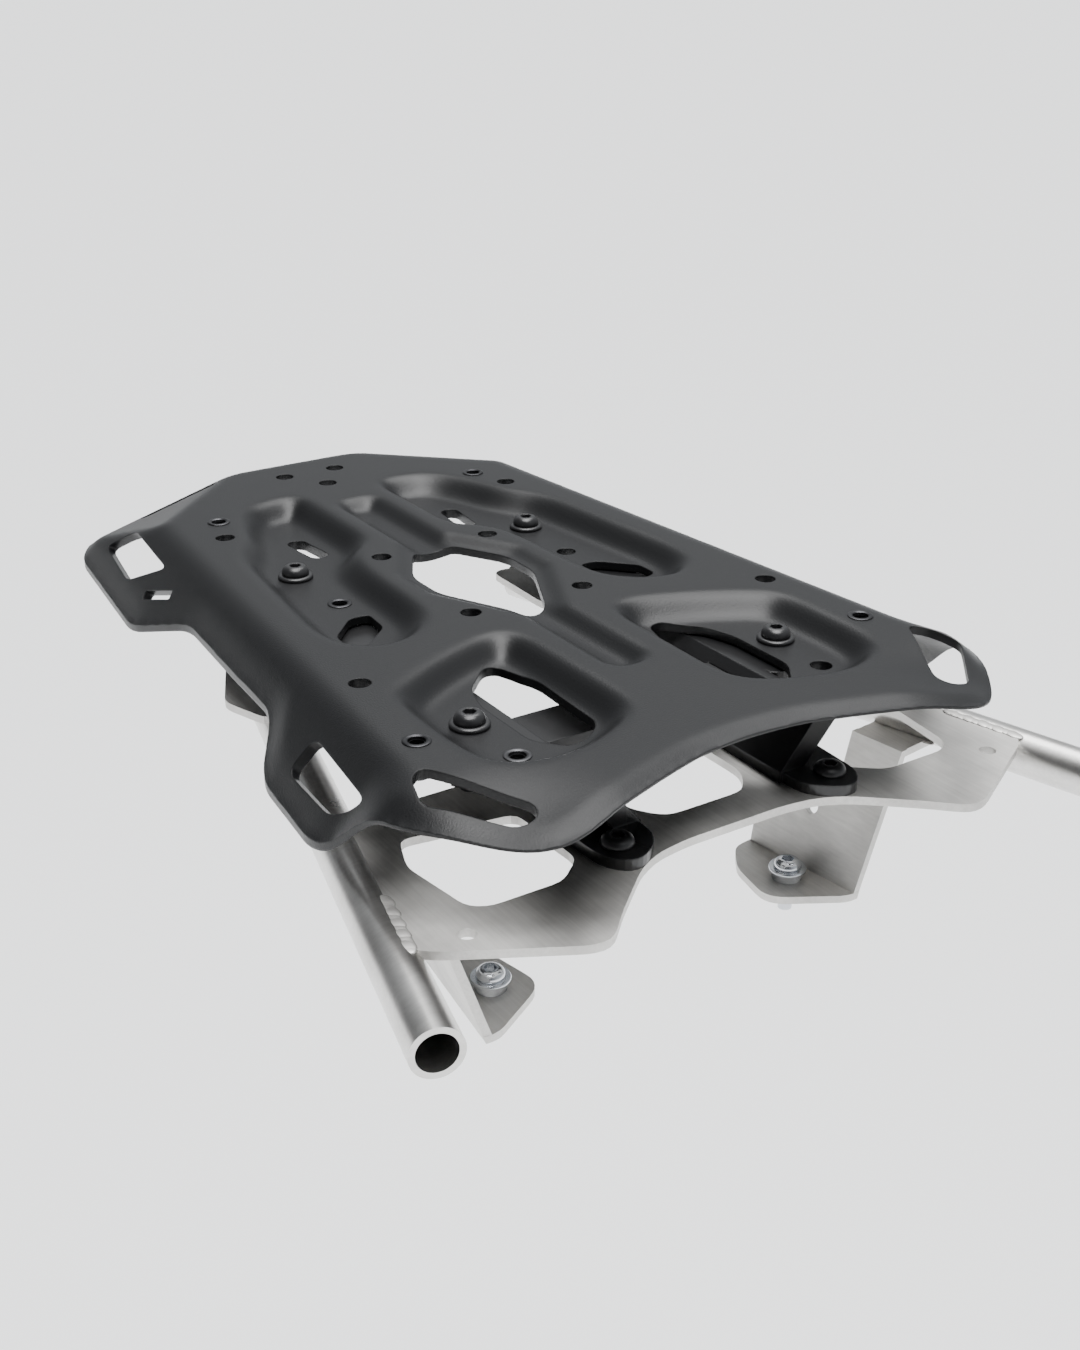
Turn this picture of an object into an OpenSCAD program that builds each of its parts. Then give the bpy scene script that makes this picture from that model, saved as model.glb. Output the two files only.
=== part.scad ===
// Motorcycle luggage rack: a pressed steel top plate on two folded adapter
// brackets, carried by a tubular stainless carrier with two drop feet.
// X runs across the motorcycle, +Y to its rear, +Z up. The origin is the middle
// of the four case holes, on the top face of the plate.

/* [Top plate] */
// Sheet thickness of the top plate
plate_t = 4; // [3:0.5:5]
// Depth of the main pressed pockets below the top face
pocket_depth = 8; // [6:0.5:9]
// Width of the S-shaped pressed wall around a pocket
wall_w = 10.5; // [9:0.5:11]
// Depth of the narrow pressed channels along the middle
channel_depth = 5; // [3:0.5:6]
// Angle of the side flanks to the top face
flank_angle = 48; // [40:1:52]
// Angle of the rear corner facets to the top face
facet_angle = 22; // [16:1:26]
// Droop of the two front corners
corner_drop = 7; // [3:0.5:8]

/* [Holes] */
// Diameter of the accessory holes
hole_d = 8.6; // [8:0.2:9]
// Spacing of the four case holes across the motorcycle
case_x = 49; // [46:1:52]
// Spacing of the four case holes along the motorcycle
case_y = 68.5; // [66:0.5:70]

/* [Fasteners] */
// Thread diameter of the plate and foot bolts
bolt_d = 8; // [7:0.5:8]
// Clearance of a bolt in its hole, on the diameter
bolt_fit = 0.6; // [0.4:0.1:1]
// Outer diameter of the washers
washer_d = 18; // [17:0.5:19]
// Thickness of the washers
washer_t = 1.6; // [1.2:0.2:2]
// Thread diameter of the frame bolts
frame_bolt_d = 6; // [5:0.5:6]

/* [Adapter brackets] */
// Sheet thickness of the adapter brackets and the cross strap
bracket_t = 4; // [3:0.5:4]
// Width of the cross strap
strap_w = 22; // [19:1:24]

/* [Carrier] */
// Top face of the carrier plate below the top face of the rack
carrier_drop = 36; // [35:0.5:38]
// Sheet thickness of the carrier plate
carrier_t = 3; // [2.5:0.5:4]
// Outer diameter of the carrier tubes
tube_d = 16.5; // [15:0.5:17]
// Wall thickness of the carrier tubes
tube_wall = 2; // [1.5:0.25:2.5]
// Top face of the feet below the top face of the rack
foot_drop = 102; // [98:1:106]
// Sheet thickness of the drop brackets
foot_t = 3; // [2.5:0.5:3]

/* [Hidden] */
$fn = 48;
eps = 0.01;

black = "#232426";
gloss = "#141415";
steel = "#b9b7b2";
zinc = "#a9adb3";

// Distance from the middle between the bolt rows to the middle of the case holes.
datum_y = 24.35;

// Plate bolts, measured from the middle between the bolt rows.
bolt_rear = [54.1, 75.6];
bolt_front = [64.6, -75.6];
foot_bolt = [44, -130];
frame_bolt = [66, -88.7];

// Threaded inserts, right-hand side: rear corner, front corner, and pocket floor.
insert_xy = [[61.8, 132], [92, -89.8]];
insert_floor = [63, -102];
insert_floor_rear = [52, 41.6];
insert_rim_d = 10.8;
insert_rim_t = 0.5;
insert_len = 12;
insert_thread_d = 5;

// Round holes of the right-hand side besides the case holes and the inserts.
hole_xy = [[12.5, 172.5], [67.3, 112.8], [87, -42.5], insert_floor_rear];

// Plate form. The fold between top and flank leans out towards the front.
fold_x0 = 96.5;
fold_lean = 0.085;
bend_half = 6;
facet_at = [28, 193];
facet_normal = [0.693, 0.721];
corner_from = [62, -115];
corner_reach = [30, 45];
grid_dx = 6;
grid_dy = 6.9;
grid_x = 130;
grid_y0 = -168;
grid_y1 = 204;

outline_half = [[0, 196], [31, 196], [97.5, 196], [102.5, 192], [110.7, 112],
    [102, 70], [106, 22], [109, -19], [122.5, -38], [127, -85],
    [121, -103], [116.5, -122], [107, -138], [96, -151], [89, -156.5],
    [81, -159], [72, -158], [60, -154], [40, -147], [20, -141], [0, -139.5]];

pocket_rear = [[17, 148], [40, 146], [50, 137], [57, 122], [62, 105], [73, 88],
    [76, 60], [79, 30], [81, 8], [78, -9], [66, -20], [50, -17], [39, -6],
    [35, 8], [34, 50], [31, 67], [17, 80]];
pocket_front = [[19, -34], [30, -28], [55, -37], [78, -50], [84.5, -60],
    [84.5, -100], [79, -116], [62, -123], [45, -121], [25, -112], [18, -100]];
pocket_round = 14;
channel_rear = [[-11, 124], [-8, 130], [8, 130], [11, 124], [11, 52], [-11, 52]];
channel_front = [[-10, -4], [10, -4], [10, -72], [6, -79], [-6, -79], [-10, -72]];
dish = [[-12, 71], [12, 71], [29, 40], [29, 17], [10, -23], [-10, -23],
    [-29, 17], [-29, 40]];

// Windows cut through the plate, right-hand side.
window_centre = [[-8, 63], [8, 63], [21.5, 39], [21.5, 19], [5, -15],
    [-5, -15], [-21.5, 19], [-21.5, 39]];
window_front = [[33, -41], [39, -41], [50, -52], [54, -65], [54, -95],
    [46, -106], [38, -105], [29, -97], [28, -60]];
window_small = [[48, 26], [56, 26], [68, 13], [68, 2], [62, 0], [49, 12]];
window_facet = [[43, 182.5], [74, 182.5], [77, 186], [74, 189.5], [43, 189.5],
    [40, 186]];
window_corner = [[105, -109], [99.5, -106], [80.5, -139], [83, -145],
    [90, -146], [109, -123]];

// Windows punched square through the right flank: distance down the flank from
// the fold, then distance along the fold.
lug_rear = [[8.5, 159], [22.6, 173.5], [25.5, 136], [10, 112]];
lug_slit = [[22.4, 115], [26, 113.4], [17.8, 93.4], [14.2, 95]];
lug_side = [[12.5, -54.5], [27, -53], [26.2, -87], [20.5, -95], [14.4, -99.5]];

slot_rear = [36, 102];
slot_rear_d = 8;
slot_rear_len = 24;

function clamp01(t) = min(1, max(0, t));
function smooth(t) = let(c = clamp01(t)) c * c * (3 - 2 * c);
function blend(d, w) = d < -w ? 0 : d > w ? d : (d + w) * (d + w) / (4 * w);
function seg_dist(p, a, b) =
    let(ab = b - a, t = clamp01((p - a) * ab / (ab * ab))) norm(p - a - t * ab);
function edge_dist(p, q) =
    min([for (i = [0:len(q) - 1]) seg_dist(p, q[i], q[(i + 1) % len(q)])]);
function crossings(p, q) =
    [for (i = [0:len(q) - 1])
        let(a = q[i], b = q[(i + 1) % len(q)])
        if ((a.y > p.y) != (b.y > p.y)
            && p.x < a.x + (p.y - a.y) * (b.x - a.x) / (b.y - a.y)) 1];
function inside(p, q) = len(crossings(p, q)) % 2 == 1;
function press(p, q, depth, w) =
    inside(p, q) ? depth * smooth(edge_dist(p, q) / w) : 0;

// Drop of the flanks and facets below the flat top.
function flank(x, y) =
    tan(flank_angle) * blend(x - fold_x0 + fold_lean * y, bend_half);
function facet(x, y) =
    tan(facet_angle) * blend((x - facet_at.x) * facet_normal.x
        + (y - facet_at.y) * facet_normal.y, 3);
function corner(x, y) =
    corner_drop * smooth((x - corner_from.x) / corner_reach.x)
        * smooth((corner_from.y - y) / corner_reach.y);
function fall(x, y) = max(flank(x, y), facet(x, y)) + corner(x, y);

// Top face of the pressed sheet at one point.
function top_z(x, y) =
    let(p = [abs(x), y])
    -fall(p.x, y)
    - max(press(p, pocket_rear_soft, pocket_depth, wall_w),
          press(p, pocket_front_soft, pocket_depth, wall_w),
          press(p, channel_rear, channel_depth, 7),
          press(p, channel_front, channel_depth, 7),
          press(p, dish, channel_depth - 2, 6));

// Closed polygon with each corner rounded by a short curve of reach r.
function reach(a, b, r) = min(r, norm(b - a) / 2.2) * (b - a) / norm(b - a);
function rounded(q, r, n = 3) =
    [for (i = [0:len(q) - 1])
        let(c = q[i],
            a = c + reach(c, q[(i + len(q) - 1) % len(q)], r),
            b = c + reach(c, q[(i + 1) % len(q)], r))
        for (k = [0:n]) let(t = k / n)
            (1 - t) * (1 - t) * a + 2 * t * (1 - t) * c + t * t * b];
pocket_rear_soft = rounded(pocket_rear, pocket_round);
pocket_front_soft = rounded(pocket_front, pocket_round);
function whole(q) =
    concat(q, [for (i = [len(q) - 2:-1:1]) [-q[i].x, q[i].y]]);

// Slab of a polygon between two heights.
module slab(q, z0, z1) {
    translate([0, 0, z0])
        linear_extrude(height = z1 - z0)
            polygon(q);
}

module drill(p, d, z0 = -60, z1 = 20) {
    translate([p.x, p.y, z0])
        cylinder(d = d, h = z1 - z0);
}

// Everything is laid out from the middle between the bolt rows, then moved.
module place() {
    translate([0, -datum_y, 0])
        children();
}

module side(right) {
    if (right) children();
    else mirror([1, 0, 0]) children();
}

// Pressed sheet before trimming, as a grid that follows top_z.
module pressed_sheet() {
    xs = [for (i = [0:2 * ceil(grid_x / grid_dx)])
        grid_x * (i / ceil(grid_x / grid_dx) - 1)];
    ny = ceil((grid_y1 - grid_y0) / grid_dy);
    ys = [for (j = [0:ny]) grid_y0 + (grid_y1 - grid_y0) * j / ny];
    nx = len(xs) - 1;
    z = [for (x = xs) [for (y = ys) top_z(x, y)]];
    function gx(i, j) =
        (z[min(i + 1, nx)][j] - z[max(i - 1, 0)][j])
        / (xs[min(i + 1, nx)] - xs[max(i - 1, 0)]);
    function gy(i, j) =
        (z[i][min(j + 1, ny)] - z[i][max(j - 1, 0)])
        / (ys[min(j + 1, ny)] - ys[max(j - 1, 0)]);
    function under(i, j) =
        let(b = z[i][j] - plate_t * sqrt(1 + pow(gx(i, j), 2) + pow(gy(i, j), 2)))
        fall(abs(xs[i]), ys[j]) > 0 ? b : max(b, -pocket_depth - plate_t);
    function t(i, j) = i * (ny + 1) + j;
    n = (nx + 1) * (ny + 1);
    points = concat(
        [for (i = [0:nx]) for (j = [0:ny]) [xs[i], ys[j], z[i][j]]],
        [for (i = [0:nx]) for (j = [0:ny]) [xs[i], ys[j], under(i, j)]]);
    faces = concat(
        [for (i = [0:nx - 1]) for (j = [0:ny - 1]) for (k = [0, 1])
            k == 0 ? [t(i, j), t(i, j + 1), t(i + 1, j + 1)]
                   : [t(i, j), t(i + 1, j + 1), t(i + 1, j)]],
        [for (i = [0:nx - 1]) for (j = [0:ny - 1]) for (k = [0, 1])
            k == 0 ? [n + t(i, j), n + t(i + 1, j), n + t(i + 1, j + 1)]
                   : [n + t(i, j), n + t(i + 1, j + 1), n + t(i, j + 1)]],
        [for (j = [0:ny - 1])
            [t(0, j + 1), t(0, j), n + t(0, j), n + t(0, j + 1)]],
        [for (j = [0:ny - 1])
            [t(nx, j), t(nx, j + 1), n + t(nx, j + 1), n + t(nx, j)]],
        [for (i = [0:nx - 1])
            [t(i, 0), t(i + 1, 0), n + t(i + 1, 0), n + t(i, 0)]],
        [for (i = [0:nx - 1])
            [t(i + 1, ny), t(i, ny), n + t(i, ny), n + t(i + 1, ny)]]);
    polyhedron(points = points, faces = faces);
}

module window(q, r) {
    for (s = [0, 1]) mirror([s, 0, 0]) slab(rounded(q, r), -60, 20);
}

module flank_window(q, r) {
    for (s = [0, 1]) mirror([s, 0, 0])
        translate([fold_x0, 0, 0])
            rotate([0, 0, atan(fold_lean)])
                rotate([0, flank_angle, 0])
                    slab(rounded(q, r), -12, 10);
}

module slot(p, d, len, tilt) {
    translate([p.x, p.y, -60]) rotate([0, 0, tilt]) {
        for (s = [-1, 1]) translate([0, s * (len - d) / 2, 0])
            cylinder(d = d, h = 80);
        translate([-d / 2, -(len - d) / 2, 0]) cube([d, len - d, 80]);
    }
}

module top_plate() {
    color(black)
    difference() {
        intersection() {
            pressed_sheet();
            slab(rounded(whole(outline_half), 8), -60, 20);
        }
        slab(rounded(window_centre, 6), -60, 20);
        window(window_front, 4);
        window(window_small, 3);
        flank_window(lug_rear, 5);
        flank_window(lug_slit, 1.2);
        flank_window(lug_side, 5);
        window(window_facet, 2.5);
        window(window_corner, 4);
        for (s = [0, 1]) mirror([s, 0, 0]) {
            slot(slot_rear, slot_rear_d, slot_rear_len, -6);
            for (p = hole_xy) drill(p, hole_d);
            for (p = insert_xy) drill(p, hole_d);
            drill(insert_floor, hole_d);
            drill(bolt_rear, bolt_d + bolt_fit);
            drill(bolt_front, bolt_d + bolt_fit);
            for (y = [-1, 1])
                drill([case_x / 2, datum_y + y * case_y / 2], hole_d);
        }
        drill([0, 154.5], hole_d);
    }
}

// Blind-rivet thread insert: thin rim on the top face, sleeve below.
module thread_insert(p, z) {
    color(gloss)
    translate([p.x, p.y, z])
    difference() {
        union() {
            cylinder(d = insert_rim_d, h = insert_rim_t);
            translate([0, 0, -insert_len]) cylinder(d = hole_d, h = insert_len + eps);
        }
        translate([0, 0, -insert_len - 1])
            cylinder(d = insert_thread_d, h = insert_len + insert_rim_t + 2);
    }
}

// Button head bolt with a hexagon socket, its seat at height z.
module button_bolt(p, z, reach_down, head_d, head_h, d, paint) {
    color(paint)
    translate([p.x, p.y, z])
    difference() {
        union() {
            translate([0, 0, head_h * 0.35])
                cylinder(d1 = head_d, d2 = head_d * 0.62, h = head_h * 0.65);
            cylinder(d = head_d, h = head_h * 0.35);
            translate([0, 0, -reach_down]) cylinder(d = d, h = reach_down + eps);
        }
        translate([0, 0, head_h * 0.4])
            cylinder(d = d * 0.72, h = head_h, $fn = 6);
    }
}

module washer(p, z, paint) {
    color(paint)
    translate([p.x, p.y, z])
    difference() {
        cylinder(d = washer_d, h = washer_t);
        translate([0, 0, -1]) cylinder(d = bolt_d + bolt_fit, h = washer_t + 2);
    }
}

// Height of a flange nut, and how far a bolt stands out of it.
nut_h = 8;
bolt_stick = 2.4;

// Flange nut, its flange against the face at height z above it.
module flange_nut(p, z) {
    color(gloss)
    translate([p.x, p.y, z])
    difference() {
        union() {
            translate([0, 0, -1.6]) cylinder(d = 17.5, h = 1.6);
            translate([0, 0, -nut_h]) cylinder(d = 15, h = 6.5, $fn = 6);
        }
        translate([0, 0, -nut_h - 1]) cylinder(d = bolt_d, h = nut_h + 2);
    }
}

floor_z = -pocket_depth;
under_z = -pocket_depth - plate_t;
flange_z = under_z - bracket_t;
strap_z = flange_z - bracket_t;
carrier_z = -carrier_drop;
foot_z = -foot_drop;
// The web stands clear of the sleeve of the insert in the pocket floor.
web_clear = 8.7;
web_in = 30;
web_out = insert_floor.x - hole_d / 2 - web_clear;
flange_half = [[46, 90], [60, 90], [66, 84], [74, -64], [76, -84], [68, -92],
    [web_out, -92], [web_out, 30], [60, 35], [60, 49], [46, 58]];
foot_half = [[30, -100], [30.5, -130], [34, -136], [41, -141], [47, -141],
    [52.5, -134], [54, -104], [50, -100]];
web_y0 = -122;
web_y1 = 30;

// Folded adapter bracket: flange under the plate, leaning web, and front foot.
module adapter_bracket() {
    color(gloss)
    difference() {
        union() {
            slab(rounded(flange_half, 5), flange_z, under_z);
            // Leaning web from the inner edge of the flange to the carrier.
            translate([0, web_y1, 0]) rotate([90, 0, 0])
                linear_extrude(height = web_y1 - web_y0)
                    polygon([[web_out, under_z], [web_out + bracket_t, flange_z],
                        [web_in + bracket_t * 1.6, carrier_z],
                        [web_in - bracket_t * 0.2, carrier_z],
                        [web_in - bracket_t * 0.2, carrier_z + bracket_t],
                        [web_out - bracket_t, under_z]]);
            slab(rounded(foot_half, 5), carrier_z, carrier_z + bracket_t);
        }
        drill(bolt_rear, bolt_d + bolt_fit);
        drill(bolt_front, bolt_d + bolt_fit);
        drill(foot_bolt, bolt_d + bolt_fit);
        // Slot in the web for the cross strap.
        translate([web_in - 10, bolt_front.y - strap_w / 2 - 0.5, strap_z - 0.5])
            cube([web_out + bracket_t * 2 - web_in + 10, strap_w + 1, bracket_t + 0.5]);
        // Slanted end of the web towards the rear.
        translate([0, web_y1, flange_z - 1]) rotate([0, 90, 0])
            linear_extrude(height = 49)
                polygon([[0, 1], [0, -10], [30, -60], [30, 1]]);
    }
}

// The strap runs on past the middle of its bolts.
strap_end = 9.4;

module cross_strap() {
    color(gloss)
    difference() {
        translate([-bolt_front.x - strap_end, bolt_front.y - strap_w / 2, strap_z])
            cube([2 * (bolt_front.x + strap_end), strap_w, bracket_t]);
        for (s = [0, 1]) mirror([s, 0, 0])
            drill(bolt_front, bolt_d + bolt_fit);
    }
}

tube_lean = 0.246;
tube_x0 = 93;
// The top of the tube stands a little above the carrier plate.
tube_rise = 0.75;
tube_z = carrier_z + tube_rise - tube_d / 2;
tube_y0 = -178;
tube_y1 = 104;
tube_angle = atan(tube_lean);

// Straight carrier tube along its own leaning line.
module tube_solid(d, extra = 0) {
    len = (tube_y1 - tube_y0) / cos(tube_angle) + 2 * extra;
    translate([tube_x0 - tube_lean * tube_y1, tube_y1, tube_z])
        rotate([90, 0, tube_angle])
            translate([0, 0, -extra])
                cylinder(d = d, h = len);
}

module carrier_tube() {
    color(steel)
    difference() {
        tube_solid(tube_d);
        tube_solid(tube_d - 2 * tube_wall, 2);
    }
}

carrier_outline = [[0, -134.5], [20, -134.5], [33, -136.5], [43, -141.5],
    [62, -158], [72, -168], [79, -168], [119, -146], [125, -140],
    [120, -96], [108, -64], [24, -64], [0, -64]];
carrier_window = [[-24, -78], [24, -78], [24, -107], [20, -114], [15, -119],
    [-15, -119], [-20, -114], [-24, -107]];
carrier_wing_window = [[57, -91], [97, -85], [103, -101], [99, -130], [93, -134],
    [67, -134], [56, -125]];

carrier_round = 5;
carrier_wing_round = 4;
carrier_hole = [106.5, -143];
carrier_hole_d = 6;

// Flat cross plate that joins the tubes and widens into a wing at each side.
module carrier_plate() {
    color(steel)
    difference() {
        slab(rounded(whole(carrier_outline), carrier_round),
            carrier_z - carrier_t, carrier_z);
        slab(rounded(carrier_window, carrier_round), carrier_z - 20, carrier_z + 20);
        for (s = [0, 1]) mirror([s, 0, 0]) {
            slab(rounded(carrier_wing_window, carrier_wing_round),
                carrier_z - 20, carrier_z + 20);
            drill(foot_bolt, bolt_d + bolt_fit, carrier_z - 20, carrier_z + 20);
            drill(carrier_hole, carrier_hole_d, carrier_z - 20, carrier_z + 20);
            tube_solid(tube_d, 2);
        }
    }
}

// Rear gusset: flat sheet laid on the tube near its rear end.
gusset_outline = [[46, 50], [47, 91], [54, 93], [90, 66], [105, 33], [98, 12],
    [80, 20], [60, 40]];
gusset_z = tube_z + tube_d / 2;

module rear_gusset() {
    color(steel)
    slab(rounded(gusset_outline, 4), gusset_z, gusset_z + carrier_t);
}

// Drop bracket, laid out from the middle of its fold, which leans like the tube.
drop_at = [77.5, -85];
drop_turn = 7.66;
drop_lean = 18.8;
drop_foot = [[6, 26.5], [-10, 26.5], [-21, 15], [-27.5, -4], [-25, -10],
    [-4, -26.5], [6, -26.5]];
// The flange on top of the sheet reaches this far above the bottom of the tube.
flange_bite = 3.709;
drop_height = (tube_z - tube_d / 2 + flange_bite - foot_z) / cos(drop_lean);
drop_sheet = [[25.8, -2], [-26.3, -2], [-28.5, drop_height + 2],
    [-5, drop_height + 2], [-5.5, drop_height - 15], [27, 8]];
drop_hole = [2.8, 23];
drop_hole_d = 6;

// Everything beyond the middle of the tube, seen from the motorcycle's middle.
module beyond_tube() {
    translate([tube_x0 - tube_lean * tube_y1, tube_y1, tube_z])
        rotate([0, 0, tube_angle])
            translate([-3, -400, -50]) cube([100, 500, 100]);
}

// Upright sheet that leans out, folded to an inward foot below and to a narrow
// flange above, which is welded to the tube.
module drop_bracket() {
    color(steel)
    difference() {
        translate([drop_at.x, drop_at.y, foot_z]) rotate([0, 0, drop_turn])
            difference() {
                union() {
                    slab(rounded(drop_foot, 4), -foot_t, 0);
                    rotate([0, drop_lean, 0]) translate([-foot_t / 2, 0, 0])
                        rotate([90, 0, 90]) linear_extrude(height = foot_t)
                            polygon(drop_sheet);
                    translate([drop_height * sin(drop_lean), -28,
                        drop_height * cos(drop_lean) - foot_t])
                        cube([3 * tube_d, 22.6, foot_t + 1]);
                }
                // Fold trimmed flush with the sheet, and the flange level on top.
                rotate([0, drop_lean, 0]) translate([foot_t / 2, -60, -30])
                    cube([30, 120, 33]);
                translate([-50, -60, drop_height * cos(drop_lean)])
                    cube([150, 120, 20]);
                rotate([0, drop_lean, 0]) translate([-20, drop_hole.x, drop_hole.y])
                    rotate([0, 90, 0]) cylinder(d = drop_hole_d, h = 40);
            }
        drill(frame_bolt, frame_bolt_d + bolt_fit, foot_z - 10, foot_z + 10);
        tube_solid(tube_d, 2);
        beyond_tube();
        translate([0, -300, foot_z - foot_t - 50]) cube([300, 400, 50]);
    }
}

collar_h = 5;
collar_d = 11.5;
collar_rim_d = 14.4;
collar_rim_t = 1.4;
shank_end = foot_z - foot_t - 0.5;
thread_len = 9.5;
thread_d = frame_bolt_d - 0.6;

// Button head bolt with a plain shank through collar and foot, then its thread.
module frame_bolt_pan() {
    color(zinc)
    union() {
        button_bolt(frame_bolt, foot_z + collar_h, foot_z + collar_h - shank_end,
            10.5, 3.3, frame_bolt_d, zinc);
        translate([frame_bolt.x, frame_bolt.y, shank_end - thread_len])
            cylinder(d = thread_d, h = thread_len + eps);
    }
}

// Collar between bolt head and foot, with a wider rim under the head.
module frame_collar() {
    color(zinc)
    translate([frame_bolt.x, frame_bolt.y, foot_z])
    difference() {
        union() {
            cylinder(d = collar_d, h = collar_h);
            translate([0, 0, collar_h - collar_rim_t])
                cylinder(d = collar_rim_d, h = collar_rim_t);
        }
        translate([0, 0, -1]) cylinder(d = frame_bolt_d + bolt_fit, h = collar_h + 2);
    }
}

place() top_plate();
place() side(false) thread_insert(insert_xy[0], 0);  // thread_insert_1
place() side(true) thread_insert(insert_xy[0], 0);  // thread_insert_2
place() side(false) thread_insert(insert_xy[1], 0);  // thread_insert_3
place() side(true) thread_insert(insert_xy[1], 0);  // thread_insert_4
place() side(false) thread_insert(insert_floor, floor_z);  // thread_insert_5
place() side(false) thread_insert(insert_floor_rear, floor_z);  // thread_insert_6
place() side(false) plate_bolt(bolt_rear, flange_z);  // plate_bolt_rear_left
place() side(true) plate_bolt(bolt_rear, flange_z);  // plate_bolt_rear_right
place() side(false) plate_bolt(bolt_front, strap_z);  // plate_bolt_front_left
place() side(true) plate_bolt(bolt_front, strap_z);  // plate_bolt_front_right
place() side(false) washer(bolt_rear, floor_z, gloss);  // plate_washer_rear_left
place() side(true) washer(bolt_rear, floor_z, gloss);  // plate_washer_rear_right
place() side(false) washer(bolt_front, floor_z, gloss);  // plate_washer_front_left
place() side(true) washer(bolt_front, floor_z, gloss);  // plate_washer_front_right
place() side(false) flange_nut(bolt_rear, flange_z);  // plate_nut_rear_left
place() side(true) flange_nut(bolt_rear, flange_z);  // plate_nut_rear_right
place() side(false) flange_nut(bolt_front, strap_z);  // plate_nut_front_left
place() side(true) flange_nut(bolt_front, strap_z);  // plate_nut_front_right
place() side(false) adapter_bracket();  // adapter_bracket_left
place() side(true) adapter_bracket();  // adapter_bracket_right
place() cross_strap();
place() side(false) foot_bolt_black();  // foot_bolt_left
place() side(true) foot_bolt_black();  // foot_bolt_right
place() side(false) clinch_nut();  // foot_nut_left
place() side(true) clinch_nut();  // foot_nut_right
place() carrier_plate();
place() side(false) carrier_tube();  // carrier_tube_left
place() side(true) carrier_tube();  // carrier_tube_right
place() side(false) rear_gusset();  // rear_gusset_left
place() side(true) rear_gusset();  // rear_gusset_right
place() side(false) drop_bracket();  // drop_bracket_left
place() side(true) drop_bracket();  // drop_bracket_right
place() side(false) frame_bolt_pan();  // frame_bolt_left
place() side(true) frame_bolt_pan();  // frame_bolt_right
place() side(false) frame_collar();  // frame_collar_left
place() side(true) frame_collar();  // frame_collar_right

// Bolt through washer, plate floor and bracket, with its thread in the nut.
module plate_bolt(p, nut_seat) {
    button_bolt(p, floor_z + washer_t,
        floor_z + washer_t - nut_seat + nut_h + bolt_stick, 14, 4.4, bolt_d, gloss);
}

module foot_bolt_black() {
    button_bolt(foot_bolt, carrier_z + bracket_t, bracket_t + carrier_t + clinch_h,
        14, 4.4, bolt_d, gloss);
}

// Thin clinch nut pressed against the underside of the carrier plate.
clinch_h = 2.6;
module clinch_nut() {
    color(steel)
    translate([foot_bolt.x, foot_bolt.y, carrier_z - carrier_t - clinch_h])
    difference() {
        cylinder(d = 13, h = clinch_h);
        translate([0, 0, -1]) cylinder(d = bolt_d, h = clinch_h + 2);
    }
}
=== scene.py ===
import math

import bpy
import numpy as np
from mathutils import Matrix, Vector


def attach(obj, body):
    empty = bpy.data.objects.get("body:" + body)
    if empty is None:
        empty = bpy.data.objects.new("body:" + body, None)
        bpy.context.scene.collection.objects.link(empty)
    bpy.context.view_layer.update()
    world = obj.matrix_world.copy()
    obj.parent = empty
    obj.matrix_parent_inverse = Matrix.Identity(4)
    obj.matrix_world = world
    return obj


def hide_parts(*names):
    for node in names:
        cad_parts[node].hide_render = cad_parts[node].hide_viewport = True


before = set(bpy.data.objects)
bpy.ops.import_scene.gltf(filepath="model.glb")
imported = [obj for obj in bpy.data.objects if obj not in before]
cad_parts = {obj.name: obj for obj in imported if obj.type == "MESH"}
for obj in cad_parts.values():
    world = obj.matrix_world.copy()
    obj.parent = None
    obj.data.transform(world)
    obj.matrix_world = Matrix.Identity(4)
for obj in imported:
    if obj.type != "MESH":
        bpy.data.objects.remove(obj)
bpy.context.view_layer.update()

# Powder coat. A fine orange-peel skin on every black sheet part, with a little
# wear in its gloss. It is one effect, laid on each part with its own values.


def start_clean():
    if bpy.context.object and bpy.context.object.mode != "OBJECT":
        bpy.ops.object.mode_set(mode="OBJECT")
    bpy.ops.object.select_all(action="DESELECT")


def new_group(name, inputs, outputs):
    tree = bpy.data.node_groups.new(name, "ShaderNodeTree")
    for label, kind, value in inputs:
        socket = tree.interface.new_socket(label, in_out="INPUT", socket_type=kind)
        socket.default_value = value
    for label, kind in outputs:
        tree.interface.new_socket(label, in_out="OUTPUT", socket_type=kind)
    return tree, tree.nodes.new("NodeGroupInput"), tree.nodes.new("NodeGroupOutput")


coat_skin, given, out = new_group(
    "Powder Coat Skin",
    [("Grain Scale", "NodeSocketFloat", 900.0),
     ("Grain Height", "NodeSocketFloat", 0.25),
     ("Base Roughness", "NodeSocketFloat", 0.42),
     ("Roughness Drift", "NodeSocketFloat", 0.08),
     ("Edge Radius", "NodeSocketFloat", 0.0008)],
    [("Roughness", "NodeSocketFloat"), ("Normal", "NodeSocketVector")])
place = coat_skin.nodes.new("ShaderNodeTexCoord")
grain = coat_skin.nodes.new("ShaderNodeTexNoise")
grain.inputs["Detail"].default_value = 3.0
coat_skin.links.new(place.outputs["Object"], grain.inputs["Vector"])
coat_skin.links.new(given.outputs["Grain Scale"], grain.inputs["Scale"])
bump = coat_skin.nodes.new("ShaderNodeBump")
bump.inputs["Distance"].default_value = 0.00025
coat_skin.links.new(given.outputs["Grain Height"], bump.inputs["Strength"])
coat_skin.links.new(grain.outputs["Fac"], bump.inputs["Height"])
soft_edge = coat_skin.nodes.new("ShaderNodeBevel")
coat_skin.links.new(given.outputs["Edge Radius"], soft_edge.inputs["Radius"])
coat_skin.links.new(soft_edge.outputs["Normal"], bump.inputs["Normal"])
cloud = coat_skin.nodes.new("ShaderNodeTexNoise")
cloud.inputs["Scale"].default_value = 14.0
coat_skin.links.new(place.outputs["Object"], cloud.inputs["Vector"])
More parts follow.
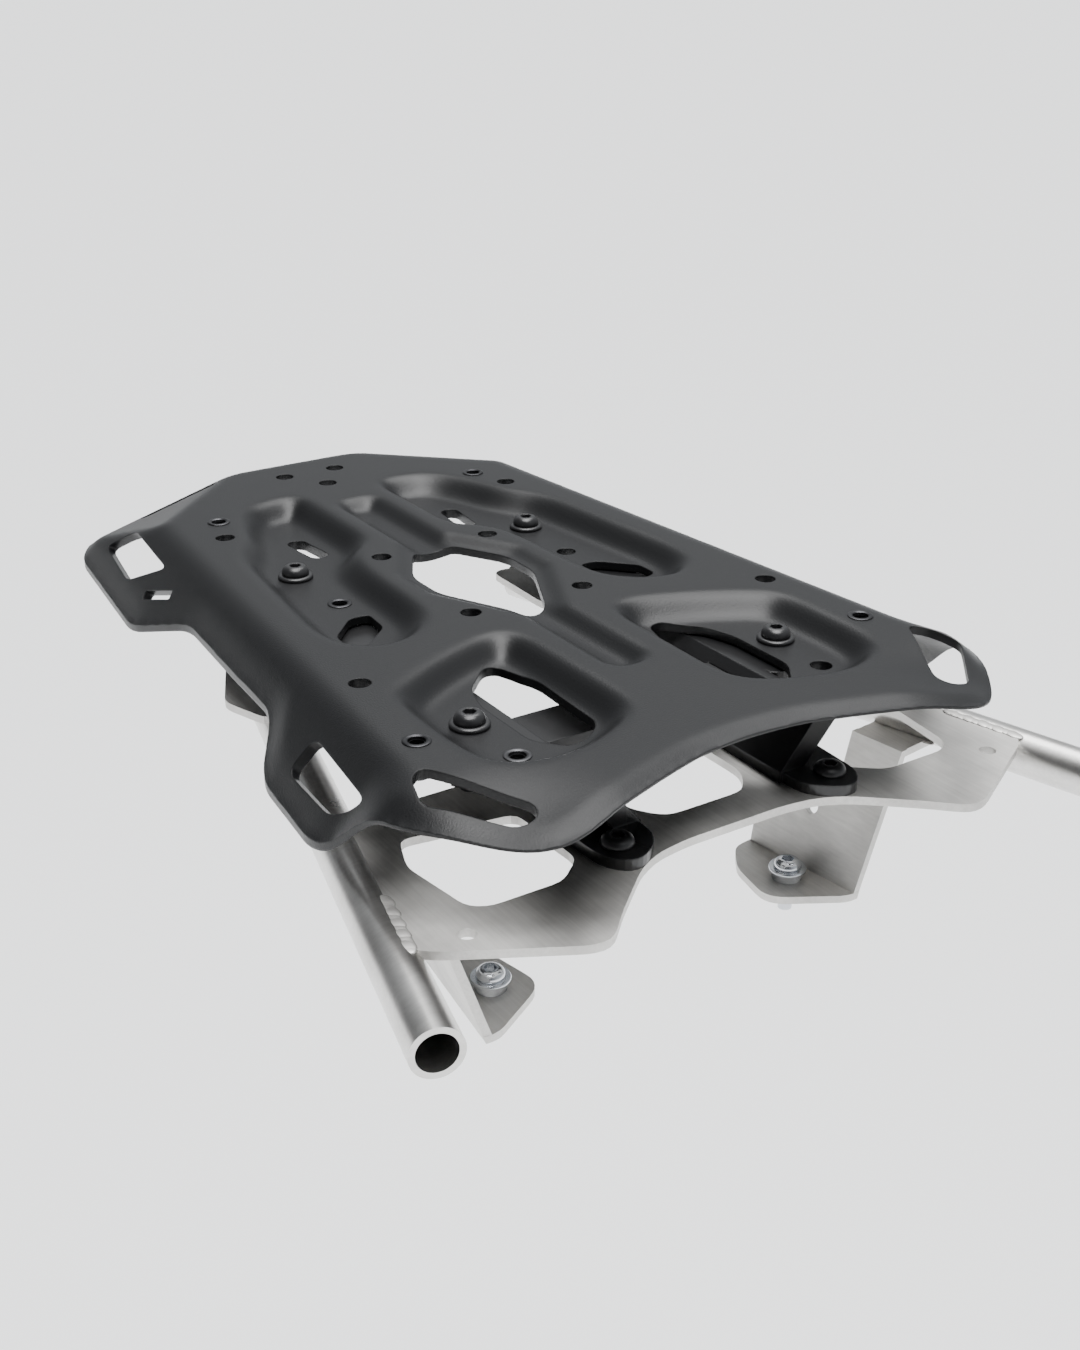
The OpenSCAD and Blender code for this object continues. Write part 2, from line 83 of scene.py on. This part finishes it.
spread = coat_skin.nodes.new("ShaderNodeMath")
spread.operation = "MULTIPLY_ADD"
coat_skin.links.new(cloud.outputs["Fac"], spread.inputs[0])
coat_skin.links.new(given.outputs["Roughness Drift"], spread.inputs[1])
coat_skin.links.new(given.outputs["Base Roughness"], spread.inputs[2])
coat_skin.links.new(spread.outputs[0], out.inputs["Roughness"])
coat_skin.links.new(bump.outputs["Normal"], out.inputs["Normal"])


def coated(name, colour, roughness, height, drift, scale):
    made = bpy.data.materials.new(name)
    made.use_nodes = True
    tree = made.node_tree
    shade = tree.nodes["Principled BSDF"]
    shade.inputs["Base Color"].default_value = (*colour, 1.0)
    shade.inputs["IOR"].default_value = 1.5
    skin = tree.nodes.new("ShaderNodeGroup")
    skin.node_tree = coat_skin
    skin.inputs["Grain Scale"].default_value = scale
    skin.inputs["Grain Height"].default_value = height
    skin.inputs["Base Roughness"].default_value = roughness
    skin.inputs["Roughness Drift"].default_value = drift
    tree.links.new(skin.outputs["Roughness"], shade.inputs["Roughness"])
    tree.links.new(skin.outputs["Normal"], shade.inputs["Normal"])
    return made


# Brushed metal. Fine lines left by the belt on the stainless sheet and tube,
# with a soft uneven grey where the metal was pickled after welding.

brushed_lines, given, out = new_group(
    "Brushed Lines",
    [("Across", "NodeSocketVector", (1.0, 0.04, 1.0)),
     ("Line Scale", "NodeSocketFloat", 700.0),
     ("Line Height", "NodeSocketFloat", 0.2),
     ("Dark Grey", "NodeSocketColor", (0.42, 0.41, 0.39, 1.0)),
     ("Light Grey", "NodeSocketColor", (0.66, 0.65, 0.62, 1.0)),
     ("Base Roughness", "NodeSocketFloat", 0.3)],
    [("Color", "NodeSocketColor"), ("Roughness", "NodeSocketFloat"),
     ("Normal", "NodeSocketVector")])
place = brushed_lines.nodes.new("ShaderNodeTexCoord")
stretch = brushed_lines.nodes.new("ShaderNodeVectorMath")
stretch.operation = "MULTIPLY"
brushed_lines.links.new(place.outputs["Object"], stretch.inputs[0])
brushed_lines.links.new(given.outputs["Across"], stretch.inputs[1])
lines = brushed_lines.nodes.new("ShaderNodeTexNoise")
lines.inputs["Detail"].default_value = 4.0
brushed_lines.links.new(stretch.outputs["Vector"], lines.inputs["Vector"])
brushed_lines.links.new(given.outputs["Line Scale"], lines.inputs["Scale"])
stain = brushed_lines.nodes.new("ShaderNodeTexNoise")
stain.inputs["Scale"].default_value = 35.0
stain.inputs["Detail"].default_value = 5.0
brushed_lines.links.new(place.outputs["Object"], stain.inputs["Vector"])
both = brushed_lines.nodes.new("ShaderNodeMath")
both.operation = "MULTIPLY_ADD"
both.inputs[1].default_value = 0.35
brushed_lines.links.new(lines.outputs["Fac"], both.inputs[0])
brushed_lines.links.new(stain.outputs["Fac"], both.inputs[2])
tone = brushed_lines.nodes.new("ShaderNodeMapRange")
tone.inputs["From Min"].default_value = 0.45
tone.inputs["From Max"].default_value = 0.9
brushed_lines.links.new(both.outputs[0], tone.inputs["Value"])
blend = brushed_lines.nodes.new("ShaderNodeMix")
blend.data_type = "RGBA"
brushed_lines.links.new(tone.outputs["Result"], blend.inputs["Factor"])
brushed_lines.links.new(given.outputs["Dark Grey"], blend.inputs["A"])
brushed_lines.links.new(given.outputs["Light Grey"], blend.inputs["B"])
brushed_lines.links.new(blend.outputs["Result"], out.inputs["Color"])
gloss = brushed_lines.nodes.new("ShaderNodeMath")
gloss.operation = "MULTIPLY_ADD"
gloss.inputs[1].default_value = 0.12
brushed_lines.links.new(stain.outputs["Fac"], gloss.inputs[0])
brushed_lines.links.new(given.outputs["Base Roughness"], gloss.inputs[2])
brushed_lines.links.new(gloss.outputs[0], out.inputs["Roughness"])
bump = brushed_lines.nodes.new("ShaderNodeBump")
bump.inputs["Distance"].default_value = 0.0001
brushed_lines.links.new(given.outputs["Line Height"], bump.inputs["Strength"])
brushed_lines.links.new(lines.outputs["Fac"], bump.inputs["Height"])
brushed_lines.links.new(bump.outputs["Normal"], out.inputs["Normal"])


def brushed(name, across, scale, height, dark, light, roughness):
    made = bpy.data.materials.new(name)
    made.use_nodes = True
    tree = made.node_tree
    shade = tree.nodes["Principled BSDF"]
    shade.inputs["Metallic"].default_value = 1.0
    skin = tree.nodes.new("ShaderNodeGroup")
    skin.node_tree = brushed_lines
    skin.inputs["Across"].default_value = across
    skin.inputs["Line Scale"].default_value = scale
    skin.inputs["Line Height"].default_value = height
    skin.inputs["Dark Grey"].default_value = (*dark, 1.0)
    skin.inputs["Light Grey"].default_value = (*light, 1.0)
    skin.inputs["Base Roughness"].default_value = roughness
    tree.links.new(skin.outputs["Color"], shade.inputs["Base Color"])
    tree.links.new(skin.outputs["Roughness"], shade.inputs["Roughness"])
    tree.links.new(skin.outputs["Normal"], shade.inputs["Normal"])
    return made


def give(piece, material):
    piece.data.materials.clear()
    piece.data.materials.append(material)


def only(piece):
    start_clean()
    piece.select_set(True)
    bpy.context.view_layer.objects.active = piece


# Top plate. One 4 mm steel sheet, deep-drawn with four pockets and two middle
# channels, folded down along both flanks, then punched and powder coated.

datum = 0.02435
plate_black = coated("Plate Powder Coat", (0.006, 0.0062, 0.0068), 0.34, 0.3, 0.1, 1500.0)
plate_black.node_tree.nodes["Principled BSDF"].inputs["IOR"].default_value = 1.38

outline_half = [(0, 196), (31, 196), (97.5, 196), (102.5, 192), (110.7, 112),
                (102, 70), (106, 22), (109, -19), (122.5, -38), (127, -85),
                (121, -103), (116.5, -122), (107, -138), (96, -151),
                (89, -156.5), (81, -159), (72, -158), (60, -154), (40, -147),
                (20, -141), (0, -139.5)]
pocket_rear = [(17, 148), (40, 146), (50, 137), (57, 122), (62, 105), (73, 88),
               (76, 60), (79, 30), (81, 8), (78, -9), (66, -20), (50, -17),
               (39, -6), (35, 8), (34, 50), (31, 67), (17, 80)]
pocket_front = [(19, -34), (30, -28), (55, -37), (78, -50), (84.5, -60),
                (84.5, -100), (79, -116), (62, -123), (45, -121), (25, -112),
                (18, -100)]
pocket_round = 14
channel_rear = [(-11, 124), (-8, 130), (8, 130), (11, 124), (11, 52), (-11, 52)]
channel_front = [(-10, -4), (10, -4), (10, -72), (6, -79), (-6, -79), (-10, -72)]
dish = [(-12, 71), (12, 71), (29, 40), (29, 17), (10, -23), (-10, -23),
        (-29, 17), (-29, 40)]
plate_windows = [
    ([(-8, 63), (8, 63), (21.5, 39), (21.5, 19), (5, -15), (-5, -15),
      (-21.5, 19), (-21.5, 39)], 6, False),
    ([(33, -41), (39, -41), (50, -52), (54, -65), (54, -95), (46, -106),
      (38, -105), (29, -97), (28, -60)], 4, True),
    ([(48, 26), (56, 26), (68, 13), (68, 2), (62, 0), (49, 12)], 3, True),
    ([(43, 182.5), (74, 182.5), (77, 186), (74, 189.5), (43, 189.5), (40, 186)],
     2.5, True),
    ([(105, -109), (99.5, -106), (80.5, -139), (83, -145), (90, -146),
      (109, -123)], 4, True)]
flank_windows = [
    ([(8.5, 159), (22.6, 173.5), (25.5, 136), (10, 112)], 5),
    ([(22.4, 115), (26, 113.4), (17.8, 93.4), (14.2, 95)], 1.2),
    ([(12.5, -54.5), (27, -53), (26.2, -87), (20.5, -95), (14.4, -99.5)], 5)]
roll_slope = 0.34
roll_width = 7.0
roll_blend = 2.0
thin_lift = 0.9
plate_holes = [(12.5, 172.5), (67.3, 112.8), (87, -42.5), (52, 41.6),
               (61.8, 132), (92, -89.8), (63, -102), (24.5, 58.6), (24.5, -9.9),
               (54.1, 75.6), (64.6, -75.6)]
plate_hole_r = 3.9


def smooth(t):
    t = np.clip(t, 0.0, 1.0)
    return t * t * (3.0 - 2.0 * t)


def blend_over(d, w):
    return np.where(d < -w, 0.0, np.where(d > w, d, (d + w) ** 2 / (4.0 * w)))


def ring_distance(x, y, ring):
    ring = np.array(ring, float)
    nearest = np.full(x.shape, 1e9)
    within = np.zeros(x.shape, bool)
    for a, b in zip(ring, np.roll(ring, -1, axis=0)):
        ab = b - a
        t = np.clip(((x - a[0]) * ab[0] + (y - a[1]) * ab[1]) / (ab @ ab), 0, 1)
        nearest = np.minimum(nearest, np.hypot(x - a[0] - t * ab[0],
                                               y - a[1] - t * ab[1]))
        if a[1] != b[1]:
            crosses = ((a[1] > y) != (b[1] > y)) & (
                x < a[0] + (y - a[1]) * ab[0] / ab[1])
            within ^= crosses
    return nearest, within


def pressed(x, y, ring, depth, wall):
    nearest, within = ring_distance(x, y, ring)
    return np.where(within, depth * smooth(nearest / wall), 0.0)


def plate_top(x, y):
    x = np.abs(x)
    flank = math.tan(math.radians(48)) * blend_over(x - 96.5 + 0.085 * y, 6.0)
    flank *= 1.0 - 0.55 * smooth((-90 - y) / 26.0)
    facet = math.tan(math.radians(22)) * blend_over(
        (x - 28) * 0.693 + (y - 193) * 0.721, 3.0)
    corner = 5.2 * smooth((x - 56) / 40.0) * smooth((-112 - y) / 38.0)
    sunk = np.maximum.reduce([
        pressed(x, y, rounded(pocket_rear, pocket_round), 8.0, 10.5),
        pressed(x, y, rounded(pocket_front, pocket_round), 8.0, 10.5),
        pressed(x, y, channel_rear, 5.0, 7.0),
        pressed(x, y, channel_front, 5.0, 7.0),
        pressed(x, y, dish, 3.0, 6.0)])
    return -np.maximum(flank, facet) - corner - sunk


def rounded(ring, r, steps=6):
    points = []
    count = len(ring)
    for i in range(count):
        c = Vector(ring[i])
        before = Vector(ring[i - 1]) - c
        after = Vector(ring[(i + 1) % count]) - c
        a = c + before.normalized() * min(r, before.length / 2.2)
        b = c + after.normalized() * min(r, after.length / 2.2)
        for k in range(steps + 1):
            t = k / steps
            points.append((1 - t) ** 2 * a + 2 * t * (1 - t) * c + t * t * b)
    return points


def prism(name, ring, low, high, spot=Matrix.Translation((0, -datum, 0))):
    start_clean()
    bpy.ops.mesh.primitive_circle_add(vertices=len(ring), fill_type="NGON")
    piece = bpy.context.object
    piece.name = name
    area = sum(a[0] * b[1] - b[0] * a[1] for a, b in zip(ring, ring[1:] + ring[:1]))
    turned = ring if area > 0 else ring[::-1]
    for vertex, p in zip(piece.data.vertices, turned):
        vertex.co = (p[0] / 1000, p[1] / 1000, low / 1000)
    bpy.ops.object.mode_set(mode="EDIT")
    bpy.ops.mesh.select_all(action="SELECT")
    bpy.ops.mesh.extrude_region_move(
        TRANSFORM_OT_translate={"value": (0, 0, (high - low) / 1000)})
    bpy.ops.mesh.select_all(action="SELECT")
    bpy.ops.mesh.normals_make_consistent(inside=False)
    bpy.ops.object.mode_set(mode="OBJECT")
    piece.data.transform(spot)
    if spot.determinant() < 0:
        piece.data.flip_normals()
    return piece


def rod(name, x, y, r, low, high, sides=40):
    start_clean()
    bpy.ops.mesh.primitive_cylinder_add(
        vertices=sides, radius=r / 1000, depth=(high - low) / 1000,
        location=(x / 1000, y / 1000 - datum, (low + high) / 2000))
    piece = bpy.context.object
    piece.name = name
    bpy.ops.object.transform_apply(location=True, rotation=True, scale=True)
    return piece


def flipped(ring):
    return [(-p[0], p[1]) for p in ring]


def cut(piece, tool, operation="DIFFERENCE"):
    only(piece)
    change = piece.modifiers.new("Punch", "BOOLEAN")
    change.operation = operation
    change.solver = "EXACT"
    change.object = tool
    bpy.ops.object.modifier_apply(modifier=change.name)
    bpy.data.objects.remove(tool, do_unlink=True)


def joined(parts):
    start_clean()
    for part in parts:
        part.select_set(True)
    bpy.context.view_layer.objects.active = parts[0]
    bpy.ops.object.join()
    return bpy.context.object


start_clean()
columns, rows = 150, 210
bpy.ops.mesh.primitive_grid_add(x_subdivisions=columns, y_subdivisions=rows, size=1)
plate = bpy.context.object
plate.name = "plate_sheet"
corners = np.empty(len(plate.data.vertices) * 3)
plate.data.vertices.foreach_get("co", corners)
corners = corners.reshape(-1, 3)
grid_x = corners[:, 0] * 262.0
grid_y = corners[:, 1] * 368.0 + 19.0
corners[:, 0] = grid_x / 1000
corners[:, 1] = grid_y / 1000 - datum
height = plate_top(grid_x, grid_y).reshape(rows + 1, columns + 1)
for _ in range(2):
    height[1:-1] = (height[:-2] + 2 * height[1:-1] + height[2:]) / 4
    height[:, 1:-1] = (height[:, :-2] + 2 * height[:, 1:-1] + height[:, 2:]) / 4
corners[:, 2] = height.ravel() / 1000
plate.data.vertices.foreach_set("co", corners.ravel())
plate.data.update()
only(plate)
wall = plate.modifiers.new("Sheet", "SOLIDIFY")
wall.thickness = 0.004
wall.offset = -1
wall.use_even_offset = True
bpy.ops.object.modifier_apply(modifier=wall.name)

# The press rolls the upper rim over and draws the sheet thinner at every edge.
full_outline = outline_half + [(-x, y) for x, y in outline_half[-2:0:-1]]
spots = np.empty(len(plate.data.vertices) * 3)
plate.data.vertices.foreach_get("co", spots)
spots = spots.reshape(-1, 3)
rim_x = spots[:, 0] * 1000
rim_y = (spots[:, 1] + datum) * 1000
to_rim = ring_distance(rim_x, rim_y, rounded(full_outline, 8))[0]
upper = np.arange(len(spots)) < (columns + 1) * (rows + 1)
rolled = roll_slope * blend_over(roll_width - to_rim, roll_blend)
thinned = thin_lift * smooth(1.0 - to_rim / 12.0)
for ring, r, paired in plate_windows:
    away = ring_distance(np.abs(rim_x), rim_y, rounded(ring, r))[0]
    thinned = np.maximum(thinned, thin_lift * smooth(1.0 - away / 5.0))
spots[:, 2] += np.where(upper, -rolled, thinned) / 1000
plate.data.vertices.foreach_set("co", spots.ravel())
plate.data.update()

cut(plate, prism("plate_die", rounded(full_outline, 8), -60, 20), "INTERSECT")
punches = []
for ring, r, paired in plate_windows:
    punches.append(prism("punch", rounded(ring, r), -60, 20))
    if paired:
        punches.append(prism("punch", rounded(flipped(ring), r), -60, 20))
flank_turn = (Matrix.Translation((0.0965, -datum, 0))
              @ Matrix.Rotation(math.atan(0.085), 4, "Z")
              @ Matrix.Rotation(math.radians(48), 4, "Y"))
for ring, r in flank_windows:
    for spot in (flank_turn, Matrix.Scale(-1, 4, (1, 0, 0)) @ flank_turn):
        punches.append(prism("punch", rounded(ring, r), -12, 10, spot))
for x, y in plate_holes:
    punches.append(rod("punch", x, y, plate_hole_r, -60, 20))
    punches.append(rod("punch", -x, y, plate_hole_r, -60, 20))
punches.append(rod("punch", 0, 154.5, plate_hole_r, -60, 20))
for side in (1, -1):
    turn = math.radians(-6) * side
    slot_ring = []
    for k in range(24):
        a = math.pi * k / 11.5
        end = 8.0 if k < 12 else -8.0
        x, y = 4 * math.cos(a), 4 * math.sin(a) + end
        slot_ring.append((36 * side + x * math.cos(turn) - y * math.sin(turn),
                          102 + x * math.sin(turn) + y * math.cos(turn)))
    punches.append(prism("punch", slot_ring, -60, 20))
cut(plate, joined(punches))
only(plate)
bpy.ops.object.shade_smooth_by_angle(angle=math.radians(32))
give(plate, plate_black)
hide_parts("top_plate")
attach(plate, "root")

# Adapter brackets and cross strap. Laser-cut 4 mm steel, folded and coated in
# a smoother black than the plate, and clamped under its pockets.

bracket_black = coated("Bracket Black", (0.009, 0.009, 0.0095), 0.24, 0.1, 0.1, 700.0)
for name in ("adapter_bracket_left", "adapter_bracket_right", "cross_strap"):
    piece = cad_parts[name]
    give(piece, bracket_black)
    edge = piece.modifiers.new("Edge", "BEVEL")
    edge.width = 0.0006
    edge.segments = 2
    edge.limit_method = "ANGLE"
    edge.angle_limit = math.radians(40)

# Black fasteners. Button-head screws with hexagon sockets, rounded washers and
# thread inserts of blackened steel; the nuts below are plain flange nuts.

screw_black = coated("Blackened Steel", (0.012, 0.012, 0.013), 0.26, 0.05, 0.12, 500.0)
screw_steel = brushed("Worn Black Steel", (1.0, 1.0, 1.0), 400.0, 0.15,
                      (0.02, 0.02, 0.022), (0.08, 0.08, 0.084), 0.32)
pocket_floor = -8.0
washer_top = pocket_floor + 1.6


def turned(name, profile, sides=48):
    """Solid of revolution about Z from (radius, height) steps in millimetres."""
    start_clean()
    bpy.ops.mesh.primitive_circle_add(vertices=sides, radius=profile[0][0] / 1000,
                                      fill_type="NGON",
                                      location=(0, 0, profile[0][1] / 1000))
    piece = bpy.context.object
    piece.name = name
    bpy.ops.object.transform_apply(location=True, rotation=True, scale=True)
    bpy.ops.object.mode_set(mode="EDIT")
    bpy.ops.mesh.select_all(action="SELECT")
    for (r0, z0), (r1, z1) in zip(profile, profile[1:]):
        bpy.ops.mesh.extrude_region_move(
            TRANSFORM_OT_translate={"value": (0, 0, (z1 - z0) / 1000)})
        bpy.ops.transform.resize(value=(r1 / r0, r1 / r0, 1))
    bpy.ops.mesh.select_all(action="SELECT")
    bpy.ops.mesh.normals_make_consistent(inside=False)
    bpy.ops.object.mode_set(mode="OBJECT")
    return piece


def placed_copy(source, name, spot, node):
    piece = source.copy()
    piece.data = source.data.copy()
    piece.name = name
    bpy.context.scene.collection.objects.link(piece)
    piece.data.transform(Matrix.Translation(Vector(spot) / 1000))
    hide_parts(node)
    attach(piece, "root")
    return piece


def dome(head_r, head_h, rim=0.3):
    steps = [(head_r * 0.96, 0.0), (head_r, rim)]
    for k in range(1, 9):
        a = math.pi / 2 * k / 9
        steps.append((head_r * (0.5 + 0.5 * math.cos(a)),
                      rim + (head_h - rim) * math.sin(a)))
    return steps


def screw(name, head_r, head_h, shank, socket, material):
    piece = turned(name, shank + dome(head_r, head_h))
    start_clean()
    bpy.ops.mesh.primitive_cylinder_add(
        vertices=6, radius=socket / 1000, depth=head_h / 1000,
        location=(0, 0, head_h * 0.9 / 1000))
    key = bpy.context.object
    bpy.ops.object.transform_apply(location=True, rotation=True, scale=True)
    cut(piece, key)
    only(piece)
    bpy.ops.object.shade_smooth_by_angle(angle=math.radians(40))
    give(piece, material)
    return piece


def ring_piece(name, profile, bore_r, low, high, material):
    piece = turned(name, profile)
    cut(piece, rod("bore", 0, datum * 1000, bore_r, low, high))
    only(piece)
    bpy.ops.object.shade_smooth_by_angle(angle=math.radians(40))
    give(piece, material)
    return piece


def rid_of(piece):
    bpy.data.objects.remove(piece, do_unlink=True)


washer = ring_piece("washer", [(6.7, 0), (6.9, 0.3), (6.9, 0.9), (6.6, 1.35), (5.9, 1.6)],
                    3.95, -2, 4, screw_black)
bolt_places = {"rear": (54.1, 75.6, 20), "front": (64.6, -75.6, 24)}
for end, (x, y, reach) in bolt_places.items():
    bolt = screw("button_screw", 5.4, 3.6, [(3.9, -reach), (3.9, 0)], 2.4, screw_black)
    for hand, way in (("left", -1), ("right", 1)):
        spot = (way * x, y - datum * 1000, washer_top)
        placed_copy(bolt, f"screw_{end}_{hand}", spot, f"plate_bolt_{end}_{hand}")
        spot = (way * x, y - datum * 1000, pocket_floor)
        placed_copy(washer, f"ring_{end}_{hand}", spot, f"plate_washer_{end}_{hand}")
    rid_of(bolt)
rid_of(washer)
foot_screw = screw("foot_screw", 5.6, 3.2, [(3.9, -9.6), (3.9, 0)], 2.4, screw_black)
for hand, way in (("left", -1), ("right", 1)):
    placed_copy(foot_screw, f"foot_screw_{hand}", (way * 44, -130 - datum * 1000, -32),
                f"foot_bolt_{hand}")
rid_of(foot_screw)
insert = ring_piece("insert", [(3.9, -12), (3.9, 0), (4.6, 0), (4.7, 0.12), (4.7, 0.25),
                               (4.4, 0.45), (3.4, 0.45), (2.9, 0.1), (2.7, -0.8)],
                    2.5, -14, 3, screw_steel)
insert_places = [(-61.8, 132, 0), (61.8, 132, 0), (-92, -89.8, 0), (92, -89.8, 0),
                 (-63, -102, pocket_floor), (-52, 41.6, pocket_floor)]
for number, (x, y, z) in enumerate(insert_places, 1):
    placed_copy(insert, f"insert_{number}", (x, y - datum * 1000, z),
                f"thread_insert_{number}")
rid_of(insert)
for name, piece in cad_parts.items():
    if name.startswith("plate_nut"):
        give(piece, screw_black)

# Carrier. Stainless plate, two tubes and two drop brackets, welded together,
# belt-brushed and pickled, and left bare.

sheet_steel = brushed("Brushed Stainless Sheet", (1.0, 0.05, 1.0), 900.0, 0.25,
                      (0.46, 0.45, 0.435), (0.7, 0.69, 0.665), 0.48)
tube_steel = brushed("Brushed Stainless Tube", (0.05, 1.0, 1.0), 900.0, 0.15,
                     (0.55, 0.54, 0.52), (0.78, 0.77, 0.75), 0.24)
for name in ("carrier_plate", "rear_gusset_left", "rear_gusset_right",
             "drop_bracket_left", "drop_bracket_right", "foot_nut_left",
             "foot_nut_right"):
    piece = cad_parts[name]
    give(piece, sheet_steel)
    edge = piece.modifiers.new("Edge", "BEVEL")
    edge.width = 0.0005
    edge.segments = 2
    edge.limit_method = "ANGLE"
    edge.angle_limit = math.radians(40)
for name in ("carrier_tube_left", "carrier_tube_right"):
    give(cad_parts[name], tube_steel)

# Weld beads. A row of small overlapping ripples where each wing of the carrier
# plate meets its tube, left as welded and only pickled.


def weld(name, start, end, r, step):
    start, end = Vector(start), Vector(end)
    count = int((end - start).length / step)
    drops = []
    for k in range(count + 1):
        start_clean()
        bpy.ops.mesh.primitive_uv_sphere_add(segments=16, ring_count=10, radius=r / 1000)
        drop = bpy.context.object
        swell = 1.0 + 0.18 * math.sin(2.3 * k) * math.cos(0.7 * k)
        drop.data.transform(Matrix.Diagonal((swell, swell * 1.5, 0.32 * swell, 1.0)))
        spot = start.lerp(end, k / count) + Vector((0.2 * math.sin(1.7 * k), 0, 0))
        drop.data.transform(Matrix.Translation(spot / 1000))
        drops.append(drop)
    bead = joined(drops)
    bead.name = name
    bpy.ops.object.shade_smooth()
    give(bead, sheet_steel)
    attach(bead, "root")


for hand, way in (("left", -1), ("right", 1)):
    weld(f"wing_weld_{hand}", (way * 117.6, -114 - datum * 1000, -36.0),
         (way * 124.0, -140.5 - datum * 1000, -36.0), 2.1, 1.5)
    weld(f"flange_weld_{hand}", (way * 107.8, -91 - datum * 1000, -48.6),
         (way * 112.4, -110 - datum * 1000, -48.6), 1.5, 1.2)

# Frame fasteners. Bright zinc screws on stepped collars that hold the feet down.

zinc_bright = brushed("Bright Zinc", (1.0, 1.0, 1.0), 300.0, 0.1,
                      (0.5, 0.52, 0.55), (0.75, 0.77, 0.8), 0.16)
collar = ring_piece("collar", [(5.6, 0), (5.75, 0.2), (5.75, 3.6), (7.0, 3.6), (7.2, 3.85),
                               (7.2, 4.6), (6.9, 5)], 3.3, -2, 8, zinc_bright)
frame_screw = screw("frame_screw", 5.25, 3.3, [(2.7, -18), (2.7, -8.5), (3, -8.5), (3, 0)],
                    2.5, zinc_bright)
for hand, way in (("left", -1), ("right", 1)):
    placed_copy(collar, f"collar_{hand}", (way * 66, -88.7 - datum * 1000, -102),
                f"frame_collar_{hand}")
    placed_copy(frame_screw, f"frame_screw_{hand}", (way * 66, -88.7 - datum * 1000, -97),
                f"frame_bolt_{hand}")
rid_of(collar)
rid_of(frame_screw)

# Studio. A wide pale floor well below the rack, soft boxes above and behind,
# and the camera at the height and lens of the product picture.

floor_grey = bpy.data.materials.new("Floor Grey")
floor_grey.use_nodes = True
floor_shade = floor_grey.node_tree.nodes["Principled BSDF"]
floor_shade.inputs["Base Color"].default_value = (0.9, 0.905, 0.91, 1.0)
floor_shade.inputs["Roughness"].default_value = 0.9
start_clean()
bpy.ops.mesh.primitive_plane_add(size=160, location=(0, 0, -1.2))
floor = bpy.context.object
floor.name = "studio_floor"
bpy.ops.object.transform_apply(location=True, rotation=True, scale=True)
give(floor, floor_grey)

world = bpy.data.worlds.new("Studio")
bpy.context.scene.world = world
world.use_nodes = True
sky = world.node_tree.nodes["Background"]
sky.inputs["Color"].default_value = (0.9, 0.93, 0.96, 1.0)
ways = world.node_tree.nodes.new("ShaderNodeTexCoord")
sideways = world.node_tree.nodes.new("ShaderNodeSeparateXYZ")
world.node_tree.links.new(ways.outputs["Generated"], sideways.inputs["Vector"])
shade_off = world.node_tree.nodes.new("ShaderNodeMapRange")
shade_off.interpolation_type = "SMOOTHSTEP"
shade_off.inputs["From Min"].default_value = -0.6
shade_off.inputs["From Max"].default_value = 0.5
shade_off.inputs["To Min"].default_value = 0.12
shade_off.inputs["To Max"].default_value = 0.66
world.node_tree.links.new(sideways.outputs["X"], shade_off.inputs["Value"])
world.node_tree.links.new(shade_off.outputs["Result"], sky.inputs["Strength"])


def softbox(name, spot, aim, size, power, tint=(1.0, 1.0, 1.0)):
    light = bpy.data.lights.new(name, "AREA")
    light.shape = "RECTANGLE"
    light.size, light.size_y = size
    light.energy = power
    light.color = tint
    lamp = bpy.data.objects.new(name, light)
    bpy.context.scene.collection.objects.link(lamp)
    lamp.location = spot
    lamp.rotation_euler = (Vector(aim) - Vector(spot)).to_track_quat("-Z", "Y").to_euler()
    return lamp


softbox("back_box", (0.68, 0.66, 1.76), (0, 0, 0), (1.4, 1.0), 28)
ceiling = bpy.data.lights.new("ceiling", "SUN")
ceiling.energy = 6.0
ceiling.angle = math.radians(45)
lamp = bpy.data.objects.new("ceiling", ceiling)
bpy.context.scene.collection.objects.link(lamp)
lamp.rotation_euler = Vector((0.05, 0.15, -1)).to_track_quat("-Z", "Y").to_euler()

eye = bpy.data.cameras.new("Camera")
eye.sensor_width = 36.0
eye.lens = 45.18
eye.clip_start = 0.01
camera = bpy.data.objects.new("Camera", eye)
bpy.context.scene.collection.objects.link(camera)
camera.location = (-0.31526, -0.50144 - datum, 0.23539)
camera.rotation_euler = Vector((0.49716, 0.76180, -0.41532)).to_track_quat(
    "-Z", "Y").to_euler()
bpy.context.scene.camera = camera

bpy.context.view_layer.update()
